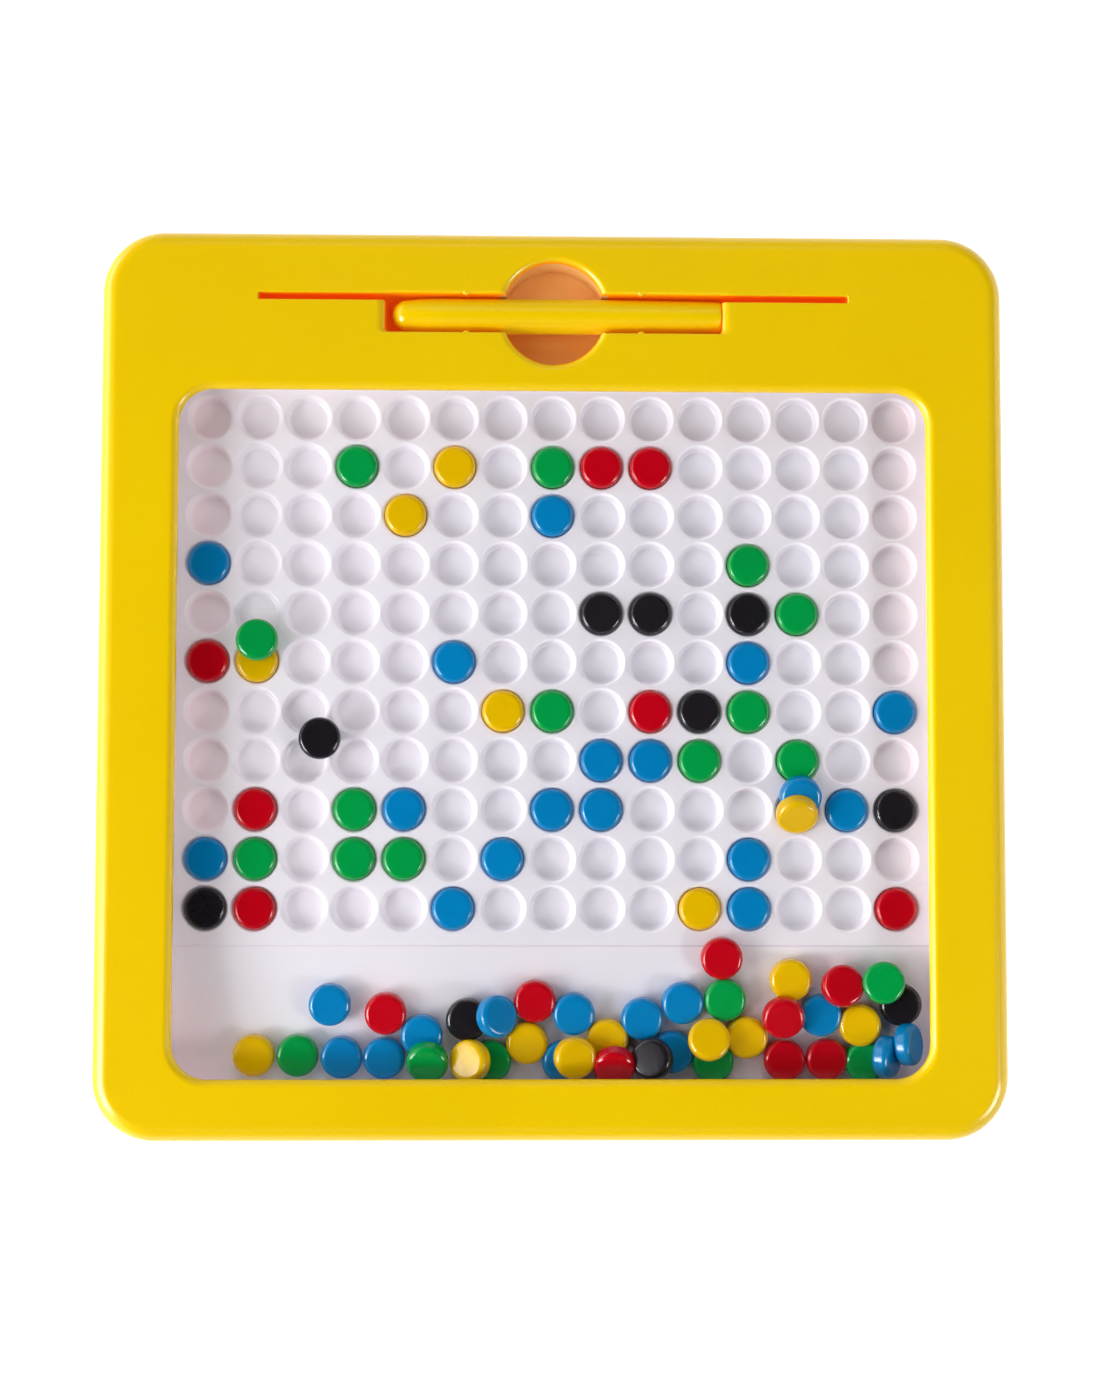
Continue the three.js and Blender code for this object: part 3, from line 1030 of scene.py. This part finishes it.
def pen():
    """The pen: a barrel a little fuller in the middle, one end domed, and a magnet let into the
    other."""
    low, high = (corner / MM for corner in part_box("pen_barrel"))
    middle, height = (low.x + high.x) / 2, (low.z + high.z) / 2
    left, right, belly, end = low.x - middle, high.x - middle, (high.z - low.z) / 2, 4.2
    quarter = [math.pi / 2 * step / 12 for step in range(12)]
    dome = [(end * math.sin(a), left + end * (1 - math.cos(a))) for a in quarter]
    start, stop = left + end, right - 0.8
    barrel = []
    for step in range(25):
        part = step / 24
        swell = (belly - end) * min(1, part / 0.06, (1 - part) / 0.4) ** 0.8
        barrel.append((end + swell, start + (stop - start) * part))
    edge = [(end - drawn, stop + risen) for drawn, risen in rounding(0.8, 6)][1:]
    bore = [(2.75, right), (2.62, right - 0.15), (2.62, right - 6.1), (0, right - 6.1)]
    body = turned("pen_barrel_piece", [*dome, *barrel, *edge, *bore], 72)
    move(smooth(body), along_pen(middle, height))
    show(to_metres(body), "pen", "pen_yellow", pen_yellow, "pen_barrel")
    low, high = (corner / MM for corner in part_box("pen_magnet"))
    long, radius = high.x - low.x, (high.z - low.z) / 2
    soft = 0.3
    profile = [(0, 0), (radius - soft, 0), (radius, soft), (radius, long - soft)]
    profile += [(radius - soft, long), (0, long)]
    magnet = turned("pen_magnet_piece", profile, 40)
    move(smooth(magnet), along_pen(low.x, height))
    show(to_metres(magnet), "pen", "magnet_black", ferrite, "pen_magnet")


def clear_cover():
    """The clear sheet over panel and tray, its edges just broken."""
    low, top, broken = COVER, COVER + COVER_THICKNESS, 0.2
    edge = [(broken, low), (0, low + broken), (0, top - broken), (broken, top)]
    layers = [(outline(TRAY_OUTLINE, TRAY_CORNER, -drawn), z) for drawn, z in edge]
    return to_metres(smooth(stack("clear_cover_sheet", layers)))


# ---- Object ----
show(front_frame(), "root", "case_yellow", case_yellow, "front_frame")
show(back_cover(), "root", "case_yellow", case_yellow, "back_cover")
show(dimple_panel(), "root", "panel_white", panel_white, "dimple_panel")
show(clear_cover(), "root", "clear_plastic", clear_acrylic, "clear_cover")
pen()
screws()
tokens()


# ---- Studio ----
def floor():
    """A pale table that glows a little, as a light table does."""

    def surface(graph):
        soft = graph.noise(graph.place(), 3, 2)
        tone = graph.blend(soft, (0.46, 0.46, 0.46, 1), (0.5, 0.5, 0.5, 1))
        return graph.wire(
            "ShaderNodeBsdfPrincipled",
            {
                "Base Color": tone,
                "Roughness": 0.9,
                "Specular IOR Level": 0.0,
                "Emission Color": (1, 1, 1, 1),
                "Emission Strength": 0.8,
            },
        )

    table = stack("studio_floor", [(outline((-3, 3, -3, 3), 0.5), z) for z in (-0.05, -0.0002)])
    table.data.materials.append(material("studio_floor", surface))


def softbox(name, place, width, height, watts, mirrored=True, lights=True):
    """A soft light that faces the board. One that isn't mirrored leaves no highlight on gloss, and
    one that only shines leaves nothing else."""
    light = bpy.data.lights.new(name, "AREA")
    light.shape, light.size, light.size_y, light.energy = "RECTANGLE", width, height, watts
    lamp = link(name, light)
    lamp.location = place
    lamp.rotation_euler = (-Vector(place)).to_track_quat("-Z", "Y").to_euler()
    lamp.visible_camera = False
    lamp.visible_glossy = mirrored
    lamp.visible_diffuse = lights


def surroundings():
    """A pale horizon, brightest to the left, that darkens overhead."""
    world = bpy.data.worlds.new("studio")
    bpy.context.scene.world = world
    world.use_nodes = True
    graph = Graph(world.node_tree)
    heading = graph.wire("ShaderNodeTexCoord", out="Generated")
    parts = graph.node("ShaderNodeSeparateXYZ", {"Vector": heading})
    across, up = (Wire(graph, parts.outputs[axis]) for axis in "XZ")
    level = graph.ramp(up, 0.0, 0.5, 0.9, 0.0)
    left = graph.ramp(across, -0.5, -0.85, 0.0, 4.2) * graph.ramp(up, 0.72, 0.2)
    right = graph.ramp(across, 0.55, 0.95, 0.0, 1.4) * graph.ramp(up, 0.3, 0.1)
    light = graph.wire(
        "ShaderNodeBackground", {"Color": (1, 1, 1, 1), "Strength": level + left + right}
    )
    graph.node("ShaderNodeOutputWorld", {"Surface": light})


def camera():
    data = bpy.data.cameras.new("camera")
    data.sensor_width, data.sensor_fit, data.lens = 36, "AUTO", 54.53
    data.clip_start, data.clip_end = 0.01, 20
    eye = link("camera", data)
    eye.location = (-0.0132, -0.0339, 0.5705)
    eye.rotation_euler = Euler([math.radians(a) for a in (3.388, -1.301, 0.12)])
    bpy.context.scene.camera = eye


floor()
softbox("key_light", (-0.74, -0.35, 0.47), 0.38, 0.32, 4.3)
softbox("fill_light", (0.72, -0.42, 0.50), 0.26, 0.16, 2.3)
softbox("left_shine", (-0.74, -0.30, 0.47), 0.5, 0.5, 5.5, lights=False)
softbox("right_shine", (0.72, -0.42, 0.50), 0.36, 0.36, 3.8, lights=False)
for side, place, watts in [
    ("left", (-0.98, 0, 1.2), 4.2),
    ("right", (1.02, 0, 1.2), 2.5),
    ("back", (0, 1.05, 1.2), 5.1),
    ("front", (0, -0.95, 1.2), 1.9),
]:
    softbox("high_" + side, place, 0.75, 0.75, watts, mirrored=False)
surroundings()
camera()
bpy.context.scene.view_settings.view_transform = "Standard"
